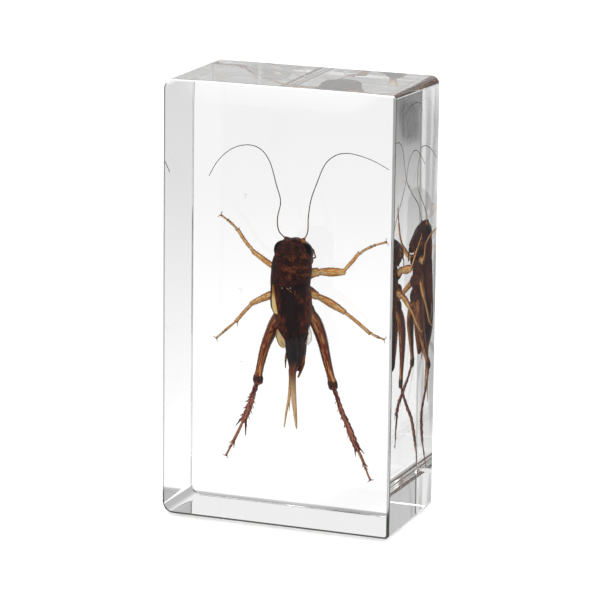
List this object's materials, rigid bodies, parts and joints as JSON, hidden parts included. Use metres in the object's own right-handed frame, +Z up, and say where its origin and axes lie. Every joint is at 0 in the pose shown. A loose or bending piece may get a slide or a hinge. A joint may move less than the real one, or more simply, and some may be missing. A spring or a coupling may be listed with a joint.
{
  "type": "insect in resin block",
  "caption": "Upright clear resin block with rounded corners that holds a dried field cricket, seen from its back, with legs spread and antennae arched.",
  "frame": {"origin": "middle of the block's outline at the level of its base, which it stands on", "axes": "+Z up along the specimen from tail to head, -Y out of the front face, towards which the cricket's back points, +X to the right as seen from the front"},
  "size_m": [0.04, 0.021, 0.073],
  "materials": {
    "clear_resin": "clear, polished all over",
    "cuticle": "dark brown to amber insect cuticle with a soft shine"
  },
  "bodies": {
    "root": {"resin_front": "clear_resin", "resin_back": "clear_resin", "cricket": "cuticle"}
  },
  "joints": []
}
